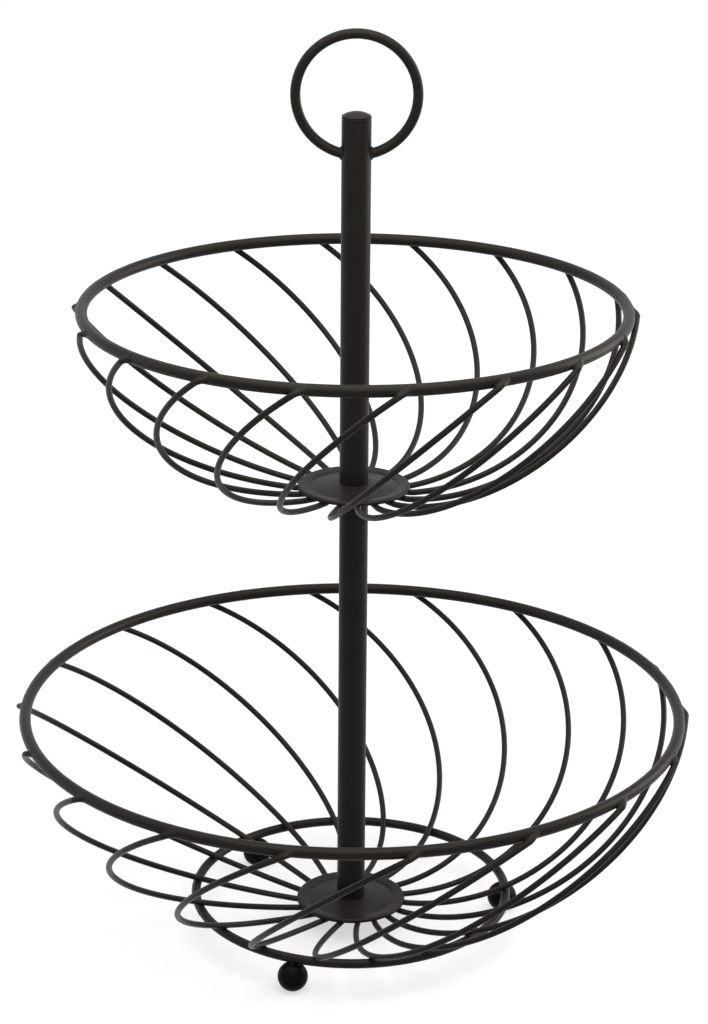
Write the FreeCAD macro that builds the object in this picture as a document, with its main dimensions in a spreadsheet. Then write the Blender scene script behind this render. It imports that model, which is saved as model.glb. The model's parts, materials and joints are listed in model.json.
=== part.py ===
"""Two-tier wire fruit basket.

A pole of two tubes carries two bowls. Each bowl is a hub disc, a rim and a set of bent wires that
swirl from the one to the other. A ring handle is welded to the top of the pole, and a foot ring on
three balls stands under the lower bowl. Millimetres and degrees, +Z up, origin on the floor below
the pole.
"""
import FreeCAD
import Part
import Sketcher
import math
import os

SIZES = {
    # Pole
    "tube_diameter": "12.8",
    "tube_wall": "1.0",
    "tube_end_chamfer": "0.25",
    "lower_tube_length": "201.8",
    "upper_tube_length": "162.2",
    # End plug in the top of the pole
    "plug_flange_height": "1.5",
    "plug_groove_width": "0.6",
    "plug_groove_depth": "0.3",
    "plug_crown": "1.9",
    "plug_stem_length": "12.0",
    "plug_fit": "0.05",
    # Ring handle
    "handle_diameter": "52.0",
    "handle_wire_diameter": "4.4",
    "handle_rise": "11.1",
    # Stamped hub discs
    "disc_diameter": "50.0",
    "disc_thickness": "1.3",
    "disc_edge_radius": "1.2",
    "disc_lip_rise": "0.5",
    "panel_diameter": "38.8",
    "panel_step": "0.5",
    "panel_step_run": "0.8",
    "panel_crown": "1.2",
    "tube_seat_margin": "1.6",
    # Bowl wires
    "wire_count": "18",
    "wire_diameter": "2.7",
    "wire_bend_radius": "15.0",
    "wire_end_drop": "1.5",
    "wire_tail_gap": "0.3",
    "rim_wire_diameter": "5.2",
    "weld_gap": "0.02",
    # Lower bowl
    "lower_rim_diameter": "296.0",
    "lower_depth": "98.1",
    "lower_tail_offset": "6.0",
    "lower_swirl_angle": "56.3",
    "lower_bend_angle": "4.4",
    "lower_knee_rise": "9.8",
    "lower_phase_angle": "3.3",
    # Upper bowl
    "upper_rim_diameter": "236.6",
    "upper_depth": "83.5",
    "upper_tail_offset": "1.5",
    "upper_swirl_angle": "47.6",
    "upper_bend_angle": "9.5",
    "upper_knee_diameter": "120.0",
    "upper_knee_rise": "8.7",
    "upper_phase_angle": "11.2",
    # Foot ring and ball feet
    "foot_ring_diameter": "143.8",
    "foot_wire_diameter": "4.2",
    "ball_count": "3",
    "ball_diameter": "13.6",
    "ball_flat_diameter": "3.0",
    "ball_phase_angle": "9.6",
    # Threaded fasteners inside the pole and under the base
    "stud_diameter": "6.0",
    "stud_length": "22.0",
    "stud_chamfer": "0.6",
    "thread_fit": "0.05",
    "hole_clearance": "0.3",
    "insert_length": "14.0",
    "insert_fit": "0.05",
    "screw_length": "14.0",
    "screw_head_diameter": "11.4",
    "screw_head_edge": "1.2",
    "screw_head_crown": "2.2",
    "screw_socket_circumradius": "2.3",
    "screw_socket_depth": "2.0",
    "washer_margin": "1.0",
    "washer_thickness": "1.2",
}

# Values found by fitting one piece against another
FITTED = ("lower_end_radius", "upper_end_radius", "foot_ring_drop")

WORKED_OUT = {
    "tube_radius": "=tube_diameter / 2",
    "tube_bore": "=tube_diameter - 2 * tube_wall",
    "tube_bore_radius": "=tube_bore / 2",
    "tube_end_radius": "=tube_radius - tube_end_chamfer",
    "wire_radius": "=wire_diameter / 2",
    "rim_wire_radius": "=rim_wire_diameter / 2",
    "foot_wire_radius": "=foot_wire_diameter / 2",
    "lower_rim_radius": "=lower_rim_diameter / 2",
    "upper_rim_radius": "=upper_rim_diameter / 2",
    "foot_ring_radius": "=foot_ring_diameter / 2",
    "ball_radius": "=ball_diameter / 2",
    "wire_pitch": "=360 / wire_count",
    "ball_pitch": "=360 / ball_count",
    # Outline of a hub disc, above the lowest point of its underside
    "hole_radius": "=stud_diameter / 2 + hole_clearance",
    "seat_radius": "=tube_radius + tube_seat_margin",
    "panel_radius": "=panel_diameter / 2",
    "step_radius": "=panel_radius + panel_step_run",
    "disc_radius": "=disc_diameter / 2",
    "panel_edge_top": "=disc_thickness",
    "annulus_under": "=panel_step",
    "annulus_top": "=panel_step + disc_thickness",
    "lip_top": "=annulus_top + disc_lip_rise",
    "seat_under": "=annulus_under + panel_crown",
    "seat_top": "=annulus_top + panel_crown",
    # Wire in its own plane: along is away from the pole, up is away from the hub; its tail's line
    # passes beside the pole's axis
    "tail_start": "=step_radius + wire_tail_gap",
    "tail_end": "=disc_radius",
    "lower_knee_radius": "=foot_ring_radius",
    "upper_knee_radius": "=upper_knee_diameter / 2",
    # Stack of heights above the floor
    "ball_height": "=sqrt(ball_radius ^ 2 - (ball_flat_diameter / 2) ^ 2)",
    "foot_ring_height": "=ball_height + ball_radius + weld_gap + foot_wire_radius",
    "lower_hub_height": "=foot_ring_height + foot_ring_drop - lower_knee_rise",
    "lower_rim_height": "=lower_hub_height + lower_depth",
    "lower_disc_height": "=lower_hub_height + wire_radius + weld_gap - annulus_under",
    "lower_tube_height": "=lower_disc_height + seat_top",
    "washer_height": "=lower_disc_height + seat_under - washer_thickness",
    "upper_disc_height": "=lower_tube_height + lower_tube_length - seat_under",
    "upper_hub_height": "=upper_disc_height + annulus_under - weld_gap - wire_radius",
    "upper_rim_height": "=upper_hub_height + upper_depth",
    "upper_tube_height": "=upper_disc_height + seat_top",
    "pole_top": "=upper_tube_height + upper_tube_length",
    "handle_height": "=pole_top + handle_rise",
    # Outline of the end plug, above the lower end of its stem
    "plug_stem_radius": "=tube_bore_radius - plug_fit",
    "plug_shoulder": "=plug_stem_length + tube_end_chamfer",
    "plug_flange_top": "=plug_stem_length + plug_flange_height",
    "plug_groove_radius": "=tube_radius - plug_groove_depth",
    "plug_groove_middle": "=plug_flange_top + plug_groove_width / 2",
    "plug_cap_edge": "=plug_flange_top + plug_groove_width",
    "plug_apex": "=plug_cap_edge + plug_crown",
    # Outlines of the fasteners
    "stud_radius": "=stud_diameter / 2",
    "stud_tip_radius": "=stud_radius - stud_chamfer",
    "stud_shoulder": "=stud_length - stud_chamfer",
    "insert_diameter": "=tube_bore - 2 * insert_fit",
    "insert_bore": "=stud_diameter + 2 * thread_fit",
    "screw_head_radius": "=screw_head_diameter / 2",
    "screw_head_under": "=screw_head_crown + screw_head_edge",
    "screw_shoulder": "=screw_head_under + screw_length - stud_chamfer",
    "screw_tip": "=screw_head_under + screw_length",
    "washer_diameter": "=2 * (seat_radius - washer_margin)",
    "washer_bore": "=stud_diameter + 2 * hole_clearance",
}

# The same formulas serve both bowls
BOWL_WORKED_OUT = {
    "tube_shoulder": "={bowl}_tube_length - tube_end_chamfer",
    "end_rise": "={bowl}_depth - wire_end_drop",
    "end_aside": "={bowl}_end_radius * sin({bowl}_swirl_angle) - {bowl}_tail_offset",
    "lean": "=atan({bowl}_end_aside / {bowl}_end_rise)",
    "knee_up": "={bowl}_knee_rise / cos({bowl}_lean)",
    "knee_aside": "={bowl}_knee_rise * tan({bowl}_lean) + {bowl}_tail_offset",
    "knee_along": "=sqrt({bowl}_knee_radius ^ 2 - {bowl}_knee_aside ^ 2)",
    "end_up": "={bowl}_end_rise / cos({bowl}_lean)",
    "end_along": "={bowl}_end_radius * cos({bowl}_swirl_angle)",
}

BOWLS = ("lower", "upper")
FIT_STEPS = 40
SOCKET_SIDES = 6
QUARTER_TURN = 90
# Any angle but zero gives a rotation its axis; an expression then sets the angle
SOME_ANGLE = 1
UP = FreeCAD.Vector(0, 0, 1)
OUTWARD = FreeCAD.Vector(1, 0, 0)
ORIGIN = FreeCAD.Vector(0, 0, 0)

doc = FreeCAD.newDocument("TieredWireBasket")
sheet = doc.addObject("Spreadsheet::Sheet", "Sizes")
subparts = []


def fill_sheet():
    """Writes every named value, with its alias, on a row of its own."""
    cells = dict(SIZES)
    cells.update(dict.fromkeys(FITTED, "0"))
    cells.update(WORKED_OUT)
    for bowl in BOWLS:
        for name, formula in BOWL_WORKED_OUT.items():
            cells[f"{bowl}_{name}"] = formula.format(bowl=bowl)
    for row, name in enumerate(cells, start=1):
        sheet.set(f"A{row}", name)
        sheet.setAlias(f"B{row}", name)
    for row, text in enumerate(cells.values(), start=1):
        sheet.set(f"B{row}", text)
    doc.recompute()


def size(name):
    """Present value of a named cell."""
    value = sheet.get(name)
    return getattr(value, "Value", value)


def fit_cell(name, low, high, spare):
    """Sets a fitted cell to the value between low and high at which spare room just opens."""
    cell = sheet.getCellFromAlias(name)
    for _ in range(FIT_STEPS):
        middle = (low + high) / 2
        sheet.set(cell, repr(middle))
        doc.recompute()
        if spare() < 0:
            low = middle
        else:
            high = middle


def finish(piece, label):
    """Names a sub-part and keeps it for checking and writing."""
    piece.Label = label
    subparts.append(piece)
    return piece


def place(piece, height):
    """Ties the height of a sub-part to an expression."""
    piece.setExpression("Placement.Base.z", height)


def turn_about_pole(piece, angle):
    """Ties the turn of a sub-part about the pole to an expression."""
    piece.Placement = FreeCAD.Placement(ORIGIN, FreeCAD.Rotation(UP, SOME_ANGLE))
    piece.setExpression("Placement.Rotation.Angle", angle)


def new_sketch(body, name, role):
    """Sketch on one of the body's own planes."""
    sketch = body.newObject("Sketcher::SketchObject", name)
    plane = next(item for item in body.Origin.OriginFeatures if item.Role == role)
    sketch.AttachmentSupport = [(plane, "")]
    sketch.MapMode = "FlatFace"
    return sketch


def drive(sketch, constraint, expression):
    """Adds a constraint whose size follows an expression."""
    number = sketch.addConstraint(constraint)
    sketch.setExpression(f"Constraints[{number}]", expression)


def pin_point(sketch, edge, end, along, up):
    """Ties one end of a sketch edge to two named cells, its distances from the sketch's axes."""
    for kind, axis, name in (("DistanceX", -2, along), ("DistanceY", -1, up)):
        if name is None:
            sketch.addConstraint(Sketcher.Constraint("PointOnObject", edge, end, axis))
        else:
            drive(sketch, Sketcher.Constraint(kind, -1, 1, edge, end, size(name)), f"Sizes.{name}")


def outline(sketch, corners, dome=None):
    """Closed outline through corners named by cells; the edge numbered dome is centred on the axis."""
    points = []
    for along, up in corners:
        across = 0 if along is None else size(along)
        height = 0 if up is None else size(up)
        points.append(FreeCAD.Vector(across, height, 0))
    count = len(points)
    for edge in range(count):
        start = points[edge]
        end = points[(edge + 1) % count]
        if edge == dome:
            sketch.addGeometry(crown_arc(start, end), False)
            sketch.addConstraint(Sketcher.Constraint("PointOnObject", edge, 3, -2))
        else:
            sketch.addGeometry(Part.LineSegment(start, end), False)
    ends = [edge_ends(sketch, edge, points[edge]) for edge in range(count)]
    for edge in range(count):
        following = (edge + 1) % count
        joint = Sketcher.Constraint("Coincident", edge, ends[edge][1], following, ends[following][0])
        sketch.addConstraint(joint)
        pin_point(sketch, edge, ends[edge][0], *corners[edge])


def crown_arc(first, second):
    """Arc centred on the axis from one point to another, bulging away from that centre."""
    lift = (second.x ** 2 - first.x ** 2) / (second.y - first.y)
    centre = FreeCAD.Vector(0, (first.y + second.y + lift) / 2, 0)
    angles = sorted(math.atan2(point.y - centre.y, point.x) for point in (first, second))
    circle = Part.Circle(centre, UP, (first - centre).Length)
    return Part.ArcOfCircle(circle, *angles)


def edge_ends(sketch, edge, start):
    """Point numbers of an edge's two ends, the one at start first."""
    curve = sketch.Geometry[edge]
    begins_there = (curve.StartPoint - start).Length < (curve.EndPoint - start).Length
    return (1, 2) if begins_there else (2, 1)


def turned(label, corners, height, dome=None):
    """Piece turned about the pole from an outline."""
    body = doc.addObject("PartDesign::Body", label)
    profile = new_sketch(body, f"{label}_profile", "XZ_Plane")
    outline(profile, corners, dome)
    revolution = body.newObject("PartDesign::Revolution", f"{label}_turn")
    revolution.Profile = profile
    revolution.ReferenceAxis = (profile, ["V_Axis"])
    place(body, height)
    return finish(body, label)


def sleeve(label, outer, inner, length, height):
    """Plain tube about the pole's axis."""
    body = doc.addObject("PartDesign::Body", label)
    section = new_sketch(body, f"{label}_section", "XY_Plane")
    for edge, name in enumerate((outer, inner)):
        section.addGeometry(Part.Circle(ORIGIN, UP, size(name) / 2), False)
        section.addConstraint(Sketcher.Constraint("Coincident", edge, 3, -1, 1))
        drive(section, Sketcher.Constraint("Diameter", edge, size(name)), f"Sizes.{name}")
    pad = body.newObject("PartDesign::Pad", f"{label}_pad")
    pad.Profile = section
    pad.setExpression("Length", f"Sizes.{length}")
    place(body, height)
    return finish(body, label)


def wire_ring(label, radius, wire_radius, height):
    """Round wire closed to a ring about the pole."""
    ring = doc.addObject("Part::Torus", label)
    ring.setExpression("Radius1", f"Sizes.{radius}")
    ring.setExpression("Radius2", f"Sizes.{wire_radius}")
    place(ring, height)
    return finish(ring, label)


def arc_to(start, heading, goal):
    """Arc that leaves start along a heading and ends on goal, with its heading there."""
    reach = goal - start
    bend = 2 * (math.atan2(reach.y, reach.x) - heading)
    radius = reach.Length / (2 * math.sin(bend / 2))
    centre = start + radius * FreeCAD.Vector(-math.sin(heading), math.cos(heading), 0)
    circle = Part.Circle(centre, UP, radius)
    quarter = math.pi / 2
    return Part.ArcOfCircle(circle, heading - quarter, heading + bend - quarter), heading + bend


def wire_centreline(bowl):
    """Centreline of a bowl's wire in its plane: tail, bend, arc to the knee, arc to the rim."""
    tail_start = FreeCAD.Vector(size("tail_start"), 0, 0)
    tail_end = FreeCAD.Vector(size("tail_end"), 0, 0)
    bend_angle = math.radians(size(f"{bowl}_bend_angle"))
    bend_chord = 2 * size("wire_bend_radius") * math.sin(bend_angle / 2)
    chord_way = FreeCAD.Vector(math.cos(bend_angle / 2), math.sin(bend_angle / 2), 0)
    bend_end = tail_end + bend_chord * chord_way
    knee = FreeCAD.Vector(size(f"{bowl}_knee_along"), size(f"{bowl}_knee_up"), 0)
    rim_end = FreeCAD.Vector(size(f"{bowl}_end_along"), size(f"{bowl}_end_up"), 0)
    bend, heading = arc_to(tail_end, 0, bend_end)
    lower_arc, heading = arc_to(bend_end, heading, knee)
    upper_arc, heading = arc_to(knee, heading, rim_end)
    return [Part.LineSegment(tail_start, tail_end), bend, lower_arc, upper_arc]


def distance_to_ring(bowl, radius, rise):
    """Least distance from a bowl's wire centreline to a ring's centreline at a rise above the hub."""
    path = Part.makeCompound([curve.toShape() for curve in wire_centreline(bowl)])
    upright = FreeCAD.Rotation(OUTWARD, QUARTER_TURN - size(f"{bowl}_lean"))
    path.Placement = FreeCAD.Placement(FreeCAD.Vector(0, size(f"{bowl}_tail_offset"), 0), upright)
    ring = Part.makeCircle(radius, FreeCAD.Vector(0, 0, rise), UP)
    return path.distToShape(ring)[0]


def fit_wires():
    """Brings the wire ends to the outside of the rims, and the foot ring up under the wires."""
    for bowl in BOWLS:
        rim = size(f"{bowl}_rim_radius")
        touch = size("wire_radius") + size("rim_wire_radius") + size("weld_gap")

        def rim_room():
            return distance_to_ring(bowl, rim, size(f"{bowl}_depth")) - touch

        fit_cell(f"{bowl}_end_radius", rim, rim + 2 * touch, rim_room)
    seat = size("wire_radius") + size("foot_wire_radius") + size("weld_gap")

    def foot_room():
        rise = size("lower_knee_rise") - size("foot_ring_drop")
        return distance_to_ring("lower", size("foot_ring_radius"), rise) - seat

    fit_cell("foot_ring_drop", 0, 2 * seat, foot_room)


def bowl_wire(bowl, number):
    """One bent wire of a bowl, in a plane that leans about the line of its tail, with a round outer end."""
    label = f"{bowl}_wire_{number:02d}"
    body = doc.addObject("PartDesign::Body", label)
    path = new_sketch(body, f"{label}_path", "XZ_Plane")
    path.AttachmentOffset = FreeCAD.Placement(ORIGIN, FreeCAD.Rotation(-OUTWARD, SOME_ANGLE))
    path.setExpression("AttachmentOffset.Rotation.Angle", f"Sizes.{bowl}_lean")
    path.setExpression("AttachmentOffset.Base.z", f"-Sizes.{bowl}_tail_offset")
    curves = wire_centreline(bowl)
    path.addGeometry(curves, False)
    tail, bend, lower_arc, upper_arc = range(len(curves))
    for first, second in ((tail, bend), (bend, lower_arc), (lower_arc, upper_arc)):
        path.addConstraint(Sketcher.Constraint("Tangent", first, 2, second, 1))
    pin_point(path, tail, 1, "tail_start", None)
    pin_point(path, tail, 2, "tail_end", None)
    drive(path, Sketcher.Constraint("Radius", bend, size("wire_bend_radius")), "Sizes.wire_bend_radius")
    turn = math.radians(size(f"{bowl}_bend_angle"))
    drive(path, Sketcher.Constraint("Angle", bend, turn), f"Sizes.{bowl}_bend_angle")
    pin_point(path, lower_arc, 2, f"{bowl}_knee_along", f"{bowl}_knee_up")
    pin_point(path, upper_arc, 2, f"{bowl}_end_along", f"{bowl}_end_up")
    section = new_sketch(body, f"{label}_section", "YZ_Plane")
    section.setExpression("AttachmentOffset.Base.x", f"Sizes.{bowl}_tail_offset")
    section.setExpression("AttachmentOffset.Base.z", "Sizes.tail_start")
    section.addGeometry(Part.Circle(ORIGIN, UP, size("wire_radius")), False)
    section.addConstraint(Sketcher.Constraint("Coincident", 0, 3, -1, 1))
    drive(section, Sketcher.Constraint("Diameter", 0, size("wire_diameter")), "Sizes.wire_diameter")
    pipe = body.newObject("PartDesign::AdditivePipe", f"{label}_pipe")
    pipe.Profile = section
    pipe.Spine = (path, [f"Edge{edge + 1}" for edge in range(len(curves))])
    cap = body.newObject("PartDesign::AdditiveSphere", f"{label}_cap")
    cap.setExpression("Radius", "Sizes.wire_radius")
    cap.Angle2 = 0
    cap.AttachmentSupport = [(path, f"Edge{len(curves)}"), (path, f"Vertex{len(curves) + 1}")]
    cap.MapMode = "NormalToEdge"
    turn_about_pole(body, f"Sizes.{bowl}_phase_angle + {number - 1} * Sizes.wire_pitch")
    place(body, f"Sizes.{bowl}_hub_height")
    return finish(body, label)


def pole_tube(bowl):
    """Tube of the pole that stands on a bowl's hub disc, with its outer edges broken."""
    corners = (
        ("tube_bore_radius", None),
        ("tube_end_radius", None),
        ("tube_radius", "tube_end_chamfer"),
        ("tube_radius", f"{bowl}_tube_shoulder"),
        ("tube_end_radius", f"{bowl}_tube_length"),
        ("tube_bore_radius", f"{bowl}_tube_length"),
    )
    return turned(f"{bowl}_tube", corners, f"Sizes.{bowl}_tube_height")


def hub_disc(label, height):
    """Stamped disc: flat seat for the tube, crowned panel, annulus that rises to a rounded lip."""
    corners = (
        ("hole_radius", "seat_under"),
        ("seat_radius", "seat_under"),
        ("panel_radius", None),
        ("step_radius", "annulus_under"),
        ("disc_radius", "annulus_under"),
        ("disc_radius", "lip_top"),
        ("step_radius", "annulus_top"),
        ("panel_radius", "panel_edge_top"),
        ("seat_radius", "seat_top"),
        ("hole_radius", "seat_top"),
    )
    body = turned(label, corners, height)
    doc.recompute()
    blank = body.Tip
    rounding = body.newObject("PartDesign::Fillet", f"{label}_edge")
    rounding.Base = (blank, [lip_edge(blank.Shape)])
    rounding.setExpression("Radius", "Sizes.disc_edge_radius")
    return body


def lip_edge(shape):
    """Name of the upper outer edge of a turned disc."""
    outermost = size("disc_radius")
    top = size("lip_top")

    def offset(edge):
        return abs(edge.BoundBox.XMax - outermost) + abs(edge.BoundBox.ZMin - top) + edge.BoundBox.ZLength

    nearest = min(range(len(shape.Edges)), key=lambda number: offset(shape.Edges[number]))
    return f"Edge{nearest + 1}"


def top_plug():
    """End plug: stem in the tube, flange flush with the tube, fine groove, low dome."""
    corners = (
        (None, None),
        ("plug_stem_radius", None),
        ("plug_stem_radius", "plug_stem_length"),
        ("tube_end_radius", "plug_stem_length"),
        ("tube_radius", "plug_shoulder"),
        ("tube_radius", "plug_flange_top"),
        ("plug_groove_radius", "plug_groove_middle"),
        ("tube_radius", "plug_cap_edge"),
        (None, "plug_apex"),
    )
    crown = len(corners) - 2
    return turned("top_plug", corners, "Sizes.pole_top - Sizes.plug_stem_length", dome=crown)


def handle_ring():
    """Ring of round wire in the upright plane across the front, coped to fit the sides of the tube."""
    loop = doc.addObject("Part::Torus", "handle_loop")
    loop.setExpression("Radius1", "Sizes.handle_diameter / 2")
    loop.setExpression("Radius2", "Sizes.handle_wire_diameter / 2")
    loop.Placement = FreeCAD.Placement(ORIGIN, FreeCAD.Rotation(OUTWARD, QUARTER_TURN))
    place(loop, "Sizes.handle_height")
    cope = doc.addObject("Part::Cylinder", "handle_cope")
    reach = "Sizes.handle_diameter / 2 + Sizes.handle_wire_diameter"
    cope.setExpression("Radius", "Sizes.tube_radius + Sizes.weld_gap")
    cope.setExpression("Height", reach)
    place(cope, f"Sizes.handle_height - ({reach})")
    ring = doc.addObject("Part::Cut", "handle_ring")
    ring.Base = loop
    ring.Tool = cope
    return finish(ring, "handle_ring")


def foot_ball(number):
    """Ball foot under the foot ring, with a small flat where it stands."""
    label = f"foot_ball_{number}"
    ball = doc.addObject("Part::Sphere", label)
    ball.setExpression("Radius", "Sizes.ball_radius")
    ball.setExpression("Angle1", "-asin(Sizes.ball_height / Sizes.ball_radius)")
    angle = f"Sizes.ball_phase_angle + {number - 1} * Sizes.ball_pitch"
    ball.setExpression("Placement.Base.x", f"Sizes.foot_ring_radius * cos({angle})")
    ball.setExpression("Placement.Base.y", f"Sizes.foot_ring_radius * sin({angle})")
    place(ball, "Sizes.ball_height")
    return finish(ball, label)


def joining_stud():
    """Headless stud through the upper hub disc, half in each tube."""
    corners = (
        (None, None),
        ("stud_tip_radius", None),
        ("stud_radius", "stud_chamfer"),
        ("stud_radius", "stud_shoulder"),
        ("stud_tip_radius", "stud_length"),
        (None, "stud_length"),
    )
    middle = "Sizes.upper_tube_height - Sizes.disc_thickness / 2"
    return turned("joining_stud", corners, f"{middle} - Sizes.stud_length / 2")


def base_screw():
    """Button-head screw from below, with a six-sided socket in its head."""
    corners = (
        (None, None),
        ("screw_head_radius", "screw_head_crown"),
        ("screw_head_radius", "screw_head_under"),
        ("stud_radius", "screw_head_under"),
        ("stud_radius", "screw_shoulder"),
        ("stud_tip_radius", "screw_tip"),
        (None, "screw_tip"),
    )
    screw = turned("base_screw", corners, "Sizes.washer_height - Sizes.screw_head_under", dome=0)
    doc.recompute()
    socket = screw.newObject("PartDesign::SubtractivePrism", "base_screw_socket")
    socket.Polygon = SOCKET_SIDES
    socket.setExpression("Circumradius", "Sizes.screw_socket_circumradius")
    socket.setExpression("Height", "Sizes.screw_socket_depth")
    return screw


def fasteners():
    """Tapped slugs in the tube ends, the stud between them, and the screw and washer below."""
    bottom = "Sizes.lower_tube_height"
    top = f"{bottom} + Sizes.lower_tube_length - Sizes.insert_length"
    sleeve("lower_tube_bottom_insert", "insert_diameter", "insert_bore", "insert_length", bottom)
    sleeve("lower_tube_top_insert", "insert_diameter", "insert_bore", "insert_length", top)
    sleeve("upper_tube_insert", "insert_diameter", "insert_bore", "insert_length", "Sizes.upper_tube_height")
    sleeve("base_washer", "washer_diameter", "washer_bore", "washer_thickness", "Sizes.washer_height")
    joining_stud()
    base_screw()


def build():
    """Makes every piece, from the feet up."""
    for number in range(1, int(size("ball_count")) + 1):
        foot_ball(number)
    wire_ring("foot_ring", "foot_ring_radius", "foot_wire_radius", "Sizes.foot_ring_height")
    for bowl in BOWLS:
        hub_disc(f"{bowl}_hub_disc", f"Sizes.{bowl}_disc_height")
        for number in range(1, int(size("wire_count")) + 1):
            bowl_wire(bowl, number)
        wire_ring(f"{bowl}_rim", f"{bowl}_rim_radius", "rim_wire_radius", f"Sizes.{bowl}_rim_height")
        pole_tube(bowl)
    fasteners()
    handle_ring()
    top_plug()
    doc.recompute()


def check():
    """Stops if any object failed or any sub-part is not one valid solid."""
    for item in doc.Objects:
        if "Invalid" in item.State or "Error" in item.State:
            raise RuntimeError(f"{item.Label} failed: {item.State}")
    for piece in subparts:
        if piece.Shape.isNull() or not piece.Shape.isValid():
            raise RuntimeError(f"{piece.Label} has no valid shape")
        if len(piece.Shape.Solids) != 1:
            raise RuntimeError(f"{piece.Label} has {len(piece.Shape.Solids)} solids")


def write():
    """Writes each sub-part under its label."""
    os.makedirs("parts", exist_ok=True)
    for piece in subparts:
        piece.Shape.exportStep(f"parts/{piece.Label}.step")


fill_sheet()
fit_wires()
build()
check()
write()
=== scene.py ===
import json
import math

import bmesh
import bpy
import numpy as np
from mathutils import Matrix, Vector, noise
from mathutils.bvhtree import BVHTree


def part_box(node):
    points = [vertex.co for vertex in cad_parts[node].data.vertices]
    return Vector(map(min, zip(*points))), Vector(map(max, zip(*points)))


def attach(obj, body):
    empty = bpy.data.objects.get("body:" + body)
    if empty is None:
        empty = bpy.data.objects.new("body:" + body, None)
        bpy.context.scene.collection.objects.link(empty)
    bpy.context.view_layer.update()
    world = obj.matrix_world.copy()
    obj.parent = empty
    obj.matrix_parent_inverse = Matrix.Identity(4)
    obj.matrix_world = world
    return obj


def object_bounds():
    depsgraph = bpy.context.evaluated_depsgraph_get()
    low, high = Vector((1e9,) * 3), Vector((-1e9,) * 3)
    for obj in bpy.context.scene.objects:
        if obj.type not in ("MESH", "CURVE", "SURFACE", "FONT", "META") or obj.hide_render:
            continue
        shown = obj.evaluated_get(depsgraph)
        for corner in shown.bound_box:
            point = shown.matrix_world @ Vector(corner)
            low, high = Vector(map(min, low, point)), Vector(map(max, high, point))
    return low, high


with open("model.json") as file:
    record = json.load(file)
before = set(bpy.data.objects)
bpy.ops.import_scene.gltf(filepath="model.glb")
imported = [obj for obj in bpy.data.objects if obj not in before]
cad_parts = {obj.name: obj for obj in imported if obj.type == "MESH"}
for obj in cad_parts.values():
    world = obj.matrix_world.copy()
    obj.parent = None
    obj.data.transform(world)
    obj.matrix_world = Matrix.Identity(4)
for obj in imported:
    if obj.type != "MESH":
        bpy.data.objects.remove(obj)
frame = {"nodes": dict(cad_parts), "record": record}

# Lengths in metres, angles in degrees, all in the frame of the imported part
CAD_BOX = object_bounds()
NODES = frame["nodes"]
SLOT_OF = {row["node"]: row["material_slot"] for row in frame["record"]["subparts"]}
BOWLS = ("lower", "upper")
UP = Vector((0, 0, 1))
FULL_TURN = 2 * math.pi
WHITE = (1, 1, 1, 1)
BLACK = (0, 0, 0, 1)

# Camera, solved from the rims, the foot ring and the handle in the picture
CAMERA_PLACE = (0.00947, -1.23836, 0.65314)
CAMERA_TURN = (69.9917, -0.4063, 0.5791)
CAMERA_LENS = 104.376
CAMERA_CLIP_START = 0.01
LONG_SIDE_SENSOR = 36.0

# Light and floor
WORLD_LIGHT = 0.28
WORLD_SEEN = 1.0
LAMP_COLOUR = (1.0, 0.96, 0.91)
SOFTBOXES = {
    "overhead": {"place": (0.0, -0.20, 0.82), "size": (0.9, 1.1), "power": 10.6},
    "left": {"place": (-1.05, 0.0, 0.60), "size": (0.6, 0.9), "power": 2.2},
    "right": {"place": (0.95, 0.30, 0.55), "size": (0.6, 0.9), "power": 9.0},
}
FLOOR_RADIUS = 6.0
FLOOR_SPOKES = 96
FLOOR_COLOUR = (0.34, 0.34, 0.34, 1)
FLOOR_GLOW_DISTANCES = (0.15, 1.0)
FLOOR_GLOW = (0.60, 0.90)

# Noise: roughness, and the parts of its range that are used for numbers and for colours
NOISE_ROUGHNESS = 0.55
NOISE_RANGE = (0.30, 0.70)
TINT_RANGE = (0.32, 0.68)

# Black coats: dark and light tone, roughness, gloss, orange peel and fine grain
CLOUD_SIZE = 0.014
CLOUD_DETAIL = 4
PEEL_DETAIL = 2
PEEL_STRENGTH = 1.0
GRAIN_DETAIL = 1
GRAIN_STRENGTH = 0.6
COAT_TINT = (1.0, 0.92, 0.82, 1)
COAT_TONES = ((0.0075, 0.0068, 0.0061, 1), (0.0105, 0.0096, 0.0087, 1))
# The feet's tones are the coat's tones made darker: painted shade for the dim light low down by the
# floor
SHADED_BALL_TONES = ((0.0030, 0.0028, 0.0026, 1), (0.0045, 0.0042, 0.0039, 1))
BAKED = {"peel_size": 0.0011, "peel_depth": 0.000035, "grain_size": 0.00028, "grain_depth": 0.00002}
MOULDED = {"peel_size": 0.0006, "peel_depth": 0.00003, "grain_size": 0.00022, "grain_depth": 0.00002}
COATS = {
    "black_coat": {"tones": COAT_TONES, "rough": (0.32, 0.44), "specular": 0.10, **BAKED},
    "black_ball": {"tones": SHADED_BALL_TONES, "rough": (0.32, 0.42), "specular": 0.035, **BAKED},
    "black_plastic": {"tones": COAT_TONES, "rough": (0.34, 0.44), "specular": 0.11, **MOULDED},
}

# Zinc plating
ZINC_TONES = ((0.42, 0.42, 0.41, 1), (0.66, 0.66, 0.64, 1))
ZINC_ROUGH = (0.24, 0.42)
ZINC_DETAIL = 3
SPANGLE_SIZE = 0.0022
STREAK_SIZE = 0.0009
STREAK_STRETCH = (1, 1, 9)
STREAK_DEPTH = 0.00004
STREAK_STRENGTH = 0.5

# Finding where wires end and touch
FLAT = 0.00001
TOUCH_STEPS = 3600
TOUCH_REACH_SHARE = 2.5
WAY_REACH_SHARE = 4
WAY_ROUNDS = 8

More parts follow.
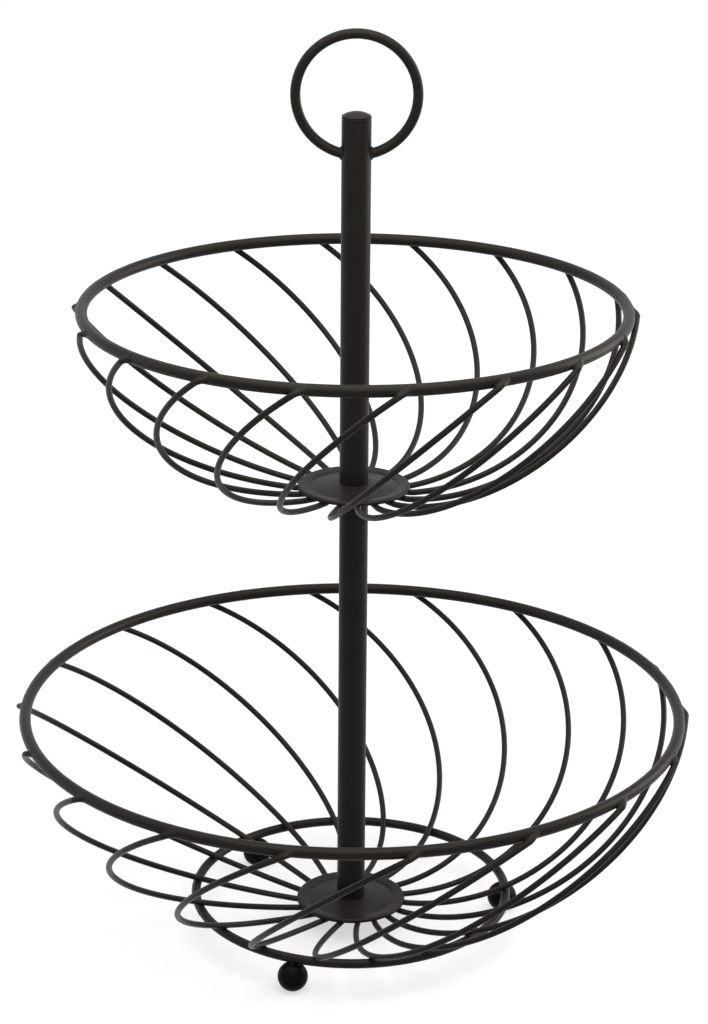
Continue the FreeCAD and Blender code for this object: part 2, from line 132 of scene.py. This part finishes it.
# Necks of coating round a touching place, as shares of a wire's radius or of their own reach
NECK_REACH_SHARE = 0.86
NECK_WAIST_SHARE = 0.42
NECK_CORE_SHARE = 0.10
NECK_ROUND_SHARE = 0.01
NECK_EDGE_SHARE = 1.1
NECK_SINK = 0.00004
NECK_SPOKES = 24
NECK_STEPS = 5

# Wire ends that run on past their tips, round and along the rim, and melt into it
MELT_TURN = 20
MELT_LEAD = 0.0012
MELT_DRIFT = 0.0040
MELT_STEPS = 5
MELT_SINK_SHARE = 0.75
MELT_BLEND = 0.0003

# The melted form is found on rays from a place inside the rim, and sinks into wire and rim far out
END_BALL_LEVEL = 4
END_DEPTH = 0.0008
END_REACH = 0.0045
END_SAMPLES = 65
END_ROD = 0.0090
END_BLEND = 0.0012
END_SINK_NEAR = 0.00003
END_SINK_FAR = 0.00012
LEAST_FALL = 1e-12

# Beads of the handle
BEAD_ON_HANDLE = 0.0008
BEAD_ON_TUBE = 0.0007
BEAD_SINK = 0.00006
BEAD_SINK_POWER = 4
BEAD_SWELL_SHARE = 0.15
BEAD_UNEVEN_SHARE = 0.55
BEAD_LUMP = 0.0016
BEAD_SPOKES = 48
BEAD_STEPS = 6

# Butt welds of the rings, with the angle of each about the pole
BUTT_ANGLES = {"upper_rim": 9, "lower_rim": 112, "foot_ring": 200}
BUTT_LENGTH = 0.006
BUTT_SWELL = 0.00012
BUTT_UNEVEN_SHARE = 0.4
BUTT_SINK = 0.00005
BUTT_NOTCH = 0.0004
BUTT_SPOKES = 28
BUTT_STEPS = 60


def nodes_of(owner):
    """Empty node tree of a material or world, with its maker of nodes and its links."""
    owner.use_nodes = True
    tree = owner.node_tree
    tree.nodes.clear()

    def add(kind, **settings):
        node = tree.nodes.new(kind)
        for name, value in settings.items():
            if name in node.inputs:
                node.inputs[name].default_value = value
            else:
                setattr(node, name, value)
        return node

    return add, tree.links.new


def noise_field(add, link, place, size, detail, stretch=None):
    """Noise with features of a given size, in object space."""
    field = add("ShaderNodeTexNoise", Scale=1 / size, Detail=detail, Roughness=NOISE_ROUGHNESS)
    if stretch is None:
        link(place, field.inputs["Vector"])
    else:
        squeeze = add("ShaderNodeMapping", Scale=stretch)
        link(place, squeeze.inputs["Vector"])
        link(squeeze.outputs["Vector"], field.inputs["Vector"])
    return field.outputs["Fac"]


def map_range(add, link, value, taken, given, **settings):
    """Maps one range of a value to another."""
    mapped = add("ShaderNodeMapRange", **settings)
    mapped.inputs["From Min"].default_value, mapped.inputs["From Max"].default_value = taken
    mapped.inputs["To Min"].default_value, mapped.inputs["To Max"].default_value = given
    link(value, mapped.inputs["Value"])
    return mapped.outputs["Result"]


def tint(add, link, value, tones):
    """Colour between two tones by a noise field."""
    ramp = add("ShaderNodeValToRGB")
    for element, position, tone in zip(ramp.color_ramp.elements, TINT_RANGE, tones):
        element.position = position
        element.color = tone
    link(value, ramp.inputs["Fac"])
    return ramp.outputs["Color"]


def relief(add, link, height, depth, strength, under=None):
    """Bump of a given depth, on top of another one if there is one."""
    bump = add("ShaderNodeBump", Strength=strength, Distance=depth)
    link(height, bump.inputs["Height"])
    if under is not None:
        link(under, bump.inputs["Normal"])
    return bump.outputs["Normal"]


def coating(name, tones, rough, specular, peel_size, peel_depth, grain_size, grain_depth):
    """Black coat: cloudy tone, orange peel, fine grain."""
    material = bpy.data.materials.new(name)
    add, link = nodes_of(material)
    place = add("ShaderNodeTexCoord").outputs["Object"]
    cloud = noise_field(add, link, place, CLOUD_SIZE, CLOUD_DETAIL)
    peel = noise_field(add, link, place, peel_size, PEEL_DETAIL)
    grain = noise_field(add, link, place, grain_size, GRAIN_DETAIL)
    surface = add("ShaderNodeBsdfPrincipled")
    surface.inputs["Specular IOR Level"].default_value = specular
    surface.inputs["Specular Tint"].default_value = COAT_TINT
    link(tint(add, link, cloud, tones), surface.inputs["Base Color"])
    link(map_range(add, link, peel, NOISE_RANGE, rough), surface.inputs["Roughness"])
    waves = relief(add, link, peel, peel_depth, PEEL_STRENGTH)
    link(relief(add, link, grain, grain_depth, GRAIN_STRENGTH, waves), surface.inputs["Normal"])
    output = add("ShaderNodeOutputMaterial")
    link(surface.outputs["BSDF"], output.inputs["Surface"])
    return material


def plated(name):
    """Zinc-plated steel: brushed streaks, cloudy spangle."""
    material = bpy.data.materials.new(name)
    add, link = nodes_of(material)
    place = add("ShaderNodeTexCoord").outputs["Object"]
    spangle = noise_field(add, link, place, SPANGLE_SIZE, ZINC_DETAIL)
    streaks = noise_field(add, link, place, STREAK_SIZE, ZINC_DETAIL, STREAK_STRETCH)
    surface = add("ShaderNodeBsdfPrincipled", Metallic=1.0)
    link(tint(add, link, spangle, ZINC_TONES), surface.inputs["Base Color"])
    link(map_range(add, link, streaks, NOISE_RANGE, ZINC_ROUGH), surface.inputs["Roughness"])
    link(relief(add, link, streaks, STREAK_DEPTH, STREAK_STRENGTH), surface.inputs["Normal"])
    output = add("ShaderNodeOutputMaterial")
    link(surface.outputs["BSDF"], output.inputs["Surface"])
    return material


def make_materials():
    """One material for each slot of the record."""
    materials = {slot: coating(slot, **look) for slot, look in COATS.items()}
    materials["zinc_steel"] = plated("zinc_steel")
    return materials


MATERIALS = make_materials()


def dress_nodes():
    """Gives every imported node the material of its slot."""
    for name, node in NODES.items():
        node.data.materials.clear()
        node.data.materials.append(MATERIALS[SLOT_OF[name]])


def add_piece(name, slot, points, faces):
    """New smooth piece that rides with the part."""
    mesh = bpy.data.meshes.new(name)
    mesh.from_pydata([tuple(point) for point in points], [], faces)
    mesh.validate()
    mesh.shade_smooth()
    mesh.materials.append(MATERIALS[slot])
    piece = bpy.data.objects.new(name, mesh)
    bpy.context.scene.collection.objects.link(piece)
    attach(piece, "root")
    return piece


def ring_of(node):
    """Radius, wire radius and height of a ring about the pole."""
    low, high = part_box(node)
    wire = (high.z - low.z) / 2
    return (high.x - low.x) / 2 - wire, wire, (high.z + low.z) / 2


def tree_of(node):
    """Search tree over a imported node's faces."""
    mesh = NODES[node].data
    corners = [v.co for v in mesh.vertices]
    return BVHTree.FromPolygons(corners, [tuple(p.vertices) for p in mesh.polygons])


def names_from(start):
    """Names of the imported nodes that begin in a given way."""
    return sorted(name for name in NODES if name.startswith(start))


def tail_of(wire):
    """Middle of the cut end of a wire's tail, the tail's direction, and the wire's radius."""
    mesh = NODES[wire].data
    end = min(mesh.polygons, key=lambda face: face.center.xy.length)
    way = -end.normal
    ring = [v.co for v in mesh.vertices if abs((v.co - end.center).dot(way)) < FLAT]
    radius = (max(p.z for p in ring) - min(p.z for p in ring)) / 2
    return sum(ring, Vector()) / len(ring), way, radius


def touch_ring(wire, ring):
    """Where a wire touches a ring: the point, the normal towards the wire, and the ring's direction."""
    radius, ring_wire, height = ring_of(ring)
    tree = tree_of(wire)
    best = None
    for step in range(TOUCH_STEPS):
        turn = FULL_TURN * step / TOUCH_STEPS
        centre = Vector((radius * math.cos(turn), radius * math.sin(turn), height))
        spot, _, _, gap = tree.find_nearest(centre, TOUCH_REACH_SHARE * ring_wire)
        if spot is not None and (best is None or gap < best[0]):
            best = (gap, centre, spot)
    _, centre, spot = best
    normal = (spot - centre).normalized()
    return centre + normal * ring_wire, normal, UP.cross(centre).normalized()


def wire_way(wire, spot, nearby):
    """Upward direction of a wire near a spot, as its points spread most that way."""
    near = [v.co - spot for v in NODES[wire].data.vertices if (v.co - spot).length < nearby]
    middle = sum(near, Vector()) / len(near)
    way = max((p - middle for p in near), key=lambda p: p.length)
    for _ in range(WAY_ROUNDS):
        way = sum(((p - middle) * (p - middle).dot(way) for p in near), Vector()).normalized()
    return way if way.z > 0 else -way


def curve_point(start, pull, end, share):
    """Point at a share of a curve from start to end that is pulled towards a third point."""
    return (1 - share) ** 2 * start + 2 * share * (1 - share) * pull + share ** 2 * end


def closed_faces(base, spokes, row):
    """Quads between the spokes of a closed ring, each spoke a closed row of points."""
    faces = []
    for spoke in range(spokes):
        here = base + spoke * row
        there = base + (spoke + 1) % spokes * row
        for step in range(row):
            beyond = (step + 1) % row
            faces.append((here + step, here + beyond, there + beyond, there + step))
    return faces


def falls_away(form, offset):
    """How far a flat, ball or rod form falls away from its tangent plane at an offset in that plane."""
    radius, axis = form
    if radius is None:
        return 0.0
    across = offset if axis is None else offset - axis * offset.dot(axis)
    return radius - math.sqrt(max(radius ** 2 - across.length_squared, 0.0))


def add_neck(points, faces, ends, normal, over, under, reach):
    """Closed fillet round the place where two forms touch, as the coating fills it."""
    first, last = ends
    along = last - first
    if along.length < reach * NECK_ROUND_SHARE:
        along = normal.orthogonal()
    along.normalize()
    aside = normal.cross(along)
    base = len(points)
    for spoke in range(NECK_SPOKES):
        turn = FULL_TURN * spoke / NECK_SPOKES
        way = math.cos(turn) * along + math.sin(turn) * aside
        foot = last if math.cos(turn) > 0 else first
        offset = way * reach
        top = foot + offset + normal * (falls_away(over, offset) + NECK_SINK)
        bottom = foot + offset - normal * (falls_away(under, offset) + NECK_SINK)
        level = (top + bottom) / 2 - foot - offset
        waist = foot + way * reach * NECK_WAIST_SHARE + level * NECK_WAIST_SHARE
        points.append(foot + way * reach * NECK_CORE_SHARE)
        for step in range(NECK_STEPS + 1):
            points.append(curve_point(top, waist, bottom, step / NECK_STEPS))
    faces.extend(closed_faces(base, NECK_SPOKES, NECK_STEPS + 2))


def weld_ring(name, ring, wires):
    """Fillets between a ring and the wires that cross it."""
    points, faces = [], []
    _, ring_wire, _ = ring_of(ring)
    for wire in wires:
        _, _, wire_radius = tail_of(wire)
        spot, normal, ring_way = touch_ring(wire, ring)
        way = wire_way(wire, spot + normal * wire_radius, WAY_REACH_SHARE * wire_radius)
        over, under = (wire_radius, way), (ring_wire, ring_way)
        add_neck(points, faces, (spot, spot), normal, over, under, wire_radius * NECK_REACH_SHARE)
    add_piece(name, "black_coat", points, faces)


def weld_disc(name, disc, wires):
    """Fillets between a hub disc and the wire tails under it."""
    points, faces = [], []
    disc_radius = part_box(disc)[1].x
    for wire in wires:
        start, way, wire_radius = tail_of(wire)
        reach = wire_radius * NECK_REACH_SHARE
        begin = start + UP * wire_radius
        nearing = start.xy.dot(way.xy)
        room = math.sqrt(nearing ** 2 + disc_radius ** 2 - start.xy.length_squared) - nearing
        ends = (begin + way * reach, begin + way * (room - NECK_EDGE_SHARE * reach))
        add_neck(points, faces, ends, -UP, (wire_radius, way), (None, None), reach)
    add_piece(name, "black_coat", points, faces)


def weld_balls(name, ring, balls):
    """Fillets between the ball feet and the ring they carry."""
    points, faces = [], []
    _, ring_wire, _ = ring_of(ring)
    for ball in balls:
        low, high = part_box(ball)
        radius = (high.x - low.x) / 2
        spot = Vector(((low.x + high.x) / 2, (low.y + high.y) / 2, high.z))
        over, under = (ring_wire, UP.cross(spot).normalized()), (radius, None)
        add_neck(points, faces, (spot, spot), UP, over, under, ring_wire * NECK_REACH_SHARE)
    add_piece(name, "black_coat", points, faces)


def off_ring(points, ring):
    """Distance of points from the surface of a ring about the pole."""
    radius, wire, height = ring_of(ring)
    aside = np.hypot(points[..., 0], points[..., 1]) - radius
    return np.hypot(aside, points[..., 2] - height) - wire


def off_rod(points, start, end, radius):
    """Distance of points from the surface of a straight rod with round ends."""
    start, reach = np.array(start), np.array(end - start)
    share = np.clip((points - start) @ reach / (reach @ reach), 0, 1)
    return np.linalg.norm(points - start - share[..., None] * reach, axis=-1) - radius


def melt(first, second, blend):
    """Smooth union of two distances."""
    near = np.maximum(blend - np.abs(first - second), 0)
    return np.minimum(first, second) - near ** 2 / (4 * blend)


def ball_rays(level):
    """Directions of the points of a ball of small triangles, and those triangles."""
    ball = bmesh.new()
    bmesh.ops.create_icosphere(ball, subdivisions=level, radius=1)
    ways = np.array([v.co[:] for v in ball.verts])
    triangles = [tuple(v.index for v in face.verts) for face in ball.faces]
    ball.free()
    return ways, triangles


def way_out(form, distances):
    """Distance at which each ray leaves a form, given how far outside its samples lie."""
    outside = form > 0
    outside[:, -1] = True
    last = np.maximum(outside.argmax(axis=1), 1)
    ray = np.arange(len(form))
    before, after = form[ray, last - 1], form[ray, last]
    share = np.where(after > 0, before / np.minimum(before - after, -LEAST_FALL), 1.0)
    return distances[last - 1] + np.clip(share, 0, 1) * (distances[last] - distances[last - 1])


def melted_end(wire, ring, rays):
    """Points of a wire's end that runs on and melts into a rim, one on each ray from inside it."""
    radius, ring_wire, height = ring_of(ring)
    _, _, wire_radius = tail_of(wire)
    spot, normal, ring_way = touch_ring(wire, ring)
    way = wire_way(wire, spot + normal * wire_radius, WAY_REACH_SHARE * wire_radius)
    along = ring_way if way.dot(ring_way) > 0 else -ring_way
    corners = (v.co for v in NODES[wire].data.vertices)
    tip = max(corners, key=lambda place: place.dot(way)) - way * wire_radius
    outward = Vector((tip.x, tip.y, 0)).normalized()
    turn = math.atan2(tip.z - height, tip.xy.length - radius) + math.radians(MELT_TURN)
    lying = math.cos(turn) * outward + math.sin(turn) * UP
    centre = outward * radius + UP * height
    sunk = centre + lying * (ring_wire - wire_radius * MELT_SINK_SHARE) + along * MELT_DRIFT
    lead = tip + way * MELT_LEAD
    bends = [curve_point(tip, lead, sunk, step / MELT_STEPS) for step in range(MELT_STEPS + 1)]

    middle = np.array(spot - normal * END_DEPTH + along * MELT_DRIFT / 2)
    distances = np.linspace(0, END_REACH, END_SAMPLES)
    grid = middle + rays[:, None, :] * distances[None, :, None]
    rod = off_rod(grid, tip - way * END_ROD, tip, wire_radius)
    runs = [off_rod(grid, *run, wire_radius) for run in zip(bends, bends[1:])]
    end = melt(rod, np.min(runs, axis=0), MELT_BLEND)
    sink = END_SINK_NEAR + (END_SINK_FAR - END_SINK_NEAR) * (distances / END_REACH) ** 2
    form = melt(off_ring(grid, ring), end, END_BLEND) + sink
    return middle + rays * way_out(form, distances)[:, None]


def weld_ends(name, ring, wires):
    """Wire ends melted into the outside of a rim."""
    rays, triangles = ball_rays(END_BALL_LEVEL)
    points, faces = [], []
    for wire in wires:
        base = len(points)
        points.extend(melted_end(wire, ring, rays))
        faces.extend(tuple(base + corner for corner in triangle) for triangle in triangles)
    add_piece(name, "black_coat", points, faces)


def lumps(spot):
    """Smooth unevenness of a weld, between -1 and 1."""
    return noise.noise(spot / BEAD_LUMP)


def weld_handle(name):
    """Uneven beads where the two ends of the handle meet the sides of the tube."""
    low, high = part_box("handle_ring")
    wire = (high.y - low.y) / 2
    radius = (high.x - low.x) / 2 - wire
    centre = high.z - radius - wire
    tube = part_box("upper_tube")[1].x
    middle = centre - math.sqrt(radius ** 2 - tube ** 2)
    points, faces = [], []

    def on_handle(side, lift, turn):
        reach = radius + wire * math.cos(turn)
        aside, down = reach * math.sin(lift), reach * math.cos(lift)
        return Vector((side * aside, wire * math.sin(turn), centre - down))

    for side in (-1, 1):
        base = len(points)
        for spoke in range(BEAD_SPOKES):
            # Clockwise on both sides, seen along the handle towards the tube
            turn = -side * FULL_TURN * spoke / BEAD_SPOKES
            reach = radius + wire * math.cos(turn)
            lift = math.asin(math.sqrt(tube ** 2 - (wire * math.sin(turn)) ** 2) / reach)
            joint = on_handle(side, lift, turn)
            uneven = 1 + BEAD_UNEVEN_SHARE * lumps(joint)
            upper = on_handle(side, lift + BEAD_ON_HANDLE * uneven / radius, turn)
            # The bead's edge on the tube, on the tube's unrolled surface and then rolled up
            unrolled = Vector((tube * math.atan2(joint.y, abs(joint.x)), joint.z - middle))
            unrolled *= 1 + BEAD_ON_TUBE * uneven / unrolled.length
            angle = unrolled.x / tube
            lower = Vector((side * tube * math.cos(angle), tube * math.sin(angle), middle + unrolled.y))
            out = (upper + lower) / 2 - joint
            bulge = joint + out * (1 + BEAD_SWELL_SHARE * uneven)
            sink = out.normalized() * BEAD_SINK
            points.append(joint - sink)
            for step in range(BEAD_STEPS + 1):
                share = step / BEAD_STEPS
                edge = abs(2 * share - 1) ** BEAD_SINK_POWER
                points.append(curve_point(upper, bulge, lower, share) - sink * edge)
        # The spokes run clockwise, so the faces are turned over to face outwards
        faces.extend((a, d, c, b) for a, b, c, d in closed_faces(base, BEAD_SPOKES, BEAD_STEPS + 2))
    add_piece(name, "black_coat", points, faces)


def weld_butt(name, ring, angle):
    """Slight swelling where the two ends of a ring's wire were welded together."""
    radius, wire, height = ring_of(ring)
    points, faces = [], []
    for step in range(BUTT_STEPS + 1):
        share = 2 * step / BUTT_STEPS - 1
        turn = math.radians(angle) + share * BUTT_LENGTH / 2 / radius
        outward = Vector((math.cos(turn), math.sin(turn), 0))
        centre = outward * radius + UP * height
        notch = 1 - math.exp(-(share * BUTT_LENGTH / BUTT_NOTCH) ** 2)
        for spoke in range(BUTT_SPOKES):
            tilt = FULL_TURN * spoke / BUTT_SPOKES
            way = math.cos(tilt) * outward + math.sin(tilt) * UP
            uneven = 1 + BUTT_UNEVEN_SHARE * lumps(centre + way * wire)
            swell = BUTT_SWELL * (1 - share ** 2) ** 2 * uneven * notch
            points.append(centre + way * (wire - BUTT_SINK * abs(share) + swell))
    for step in range(BUTT_STEPS):
        here = step * BUTT_SPOKES
        there = here + BUTT_SPOKES
        for spoke in range(BUTT_SPOKES):
            beside = (spoke + 1) % BUTT_SPOKES
            faces.append((here + spoke, there + spoke, there + beside, here + beside))
    faces.append(tuple(range(BUTT_SPOKES)))
    faces.append(tuple(reversed(range(BUTT_STEPS * BUTT_SPOKES, (BUTT_STEPS + 1) * BUTT_SPOKES))))
    add_piece(name, "black_coat", points, faces)


def make_welds():
    """All the coated welds."""
    for bowl in BOWLS:
        wires = names_from(f"{bowl}_wire_")
        weld_ends(f"{bowl}_rim_welds", f"{bowl}_rim", wires)
        weld_disc(f"{bowl}_disc_welds", f"{bowl}_hub_disc", wires)
    weld_ring("foot_ring_welds", "foot_ring", names_from("lower_wire_"))
    weld_balls("foot_ball_welds", "foot_ring", names_from("foot_ball_"))
    weld_handle("handle_welds")
    for ring, angle in BUTT_ANGLES.items():
        weld_butt(f"{ring}_butt_weld", ring, angle)


def seen_share(add, link):
    """One for rays that come from the camera, a reflection or glass, and zero for the light's own."""
    path = add("ShaderNodeLightPath")
    total = path.outputs["Is Camera Ray"]
    for name in ("Is Glossy Ray", "Is Transmission Ray"):
        plus = add("ShaderNodeMath", operation="ADD", use_clamp=True)
        link(total, plus.inputs[0])
        link(path.outputs[name], plus.inputs[1])
        total = plus.outputs["Value"]
    return total


def make_world():
    """Even studio light, white where it is seen."""
    world = bpy.data.worlds.new("studio")
    bpy.context.scene.world = world
    add, link = nodes_of(world)
    light = add("ShaderNodeBackground", Color=WHITE, Strength=WORLD_LIGHT)
    white = add("ShaderNodeBackground", Color=WHITE, Strength=WORLD_SEEN)
    mix = add("ShaderNodeMixShader")
    link(seen_share(add, link), mix.inputs["Fac"])
    link(light.outputs["Background"], mix.inputs[1])
    link(white.outputs["Background"], mix.inputs[2])
    output = add("ShaderNodeOutputWorld")
    link(mix.outputs["Shader"], output.inputs["Surface"])


def floor_material():
    """Pale floor that keeps the shadow, and turns white away from the part where it is seen."""
    material = bpy.data.materials.new("floor_pale")
    add, link = nodes_of(material)
    matt = add("ShaderNodeBsdfDiffuse", Color=FLOOR_COLOUR)
    distance = add("ShaderNodeVectorMath", operation="LENGTH")
    link(add("ShaderNodeTexCoord").outputs["Object"], distance.inputs[0])
    strength = map_range(add, link, distance.outputs["Value"], FLOOR_GLOW_DISTANCES, FLOOR_GLOW,
                         interpolation_type="SMOOTHSTEP")
    glow = add("ShaderNodeEmission", Color=WHITE)
    link(strength, glow.inputs["Strength"])
    none = add("ShaderNodeEmission", Color=BLACK, Strength=0.0)
    pick = add("ShaderNodeMixShader")
    link(seen_share(add, link), pick.inputs["Fac"])
    link(none.outputs["Emission"], pick.inputs[1])
    link(glow.outputs["Emission"], pick.inputs[2])
    both = add("ShaderNodeAddShader")
    link(matt.outputs["BSDF"], both.inputs[0])
    link(pick.outputs["Shader"], both.inputs[1])
    output = add("ShaderNodeOutputMaterial")
    link(both.outputs["Shader"], output.inputs["Surface"])
    return material


def make_floor():
    """Round floor under the feet."""
    turns = [FULL_TURN * spoke / FLOOR_SPOKES for spoke in range(FLOOR_SPOKES)]
    ways = [(math.cos(turn), math.sin(turn)) for turn in turns]
    edge = [(FLOOR_RADIUS * x, FLOOR_RADIUS * y, CAD_BOX[0].z) for x, y in ways]
    mesh = bpy.data.meshes.new("floor")
    mesh.from_pydata(edge, [], [tuple(range(FLOOR_SPOKES))])
    mesh.materials.append(floor_material())
    floor = bpy.data.objects.new("floor", mesh)
    bpy.context.scene.collection.objects.link(floor)


def make_lights():
    """Softboxes above and on both sides, all aimed at the middle of the part."""
    middle = (CAD_BOX[0] + CAD_BOX[1]) / 2
    for name, box in SOFTBOXES.items():
        lamp = bpy.data.lights.new(name, "AREA")
        lamp.shape = "RECTANGLE"
        lamp.size, lamp.size_y = box["size"]
        lamp.energy = box["power"]
        lamp.color = LAMP_COLOUR
        holder = bpy.data.objects.new(name, lamp)
        holder.location = box["place"]
        holder.rotation_euler = (middle - holder.location).to_track_quat("-Z", "Y").to_euler()
        bpy.context.scene.collection.objects.link(holder)


def make_camera():
    """Camera at the picture's viewpoint."""
    lens = bpy.data.cameras.new("camera")
    lens.sensor_fit = "AUTO"
    lens.sensor_width = LONG_SIDE_SENSOR
    lens.lens = CAMERA_LENS
    lens.clip_start = CAMERA_CLIP_START
    holder = bpy.data.objects.new("camera", lens)
    holder.location = CAMERA_PLACE
    holder.rotation_euler = [math.radians(angle) for angle in CAMERA_TURN]
    bpy.context.scene.collection.objects.link(holder)
    bpy.context.scene.camera = holder


bpy.context.scene.view_settings.view_transform = "Standard"
dress_nodes()
make_welds()
make_world()
make_floor()
make_lights()
make_camera()
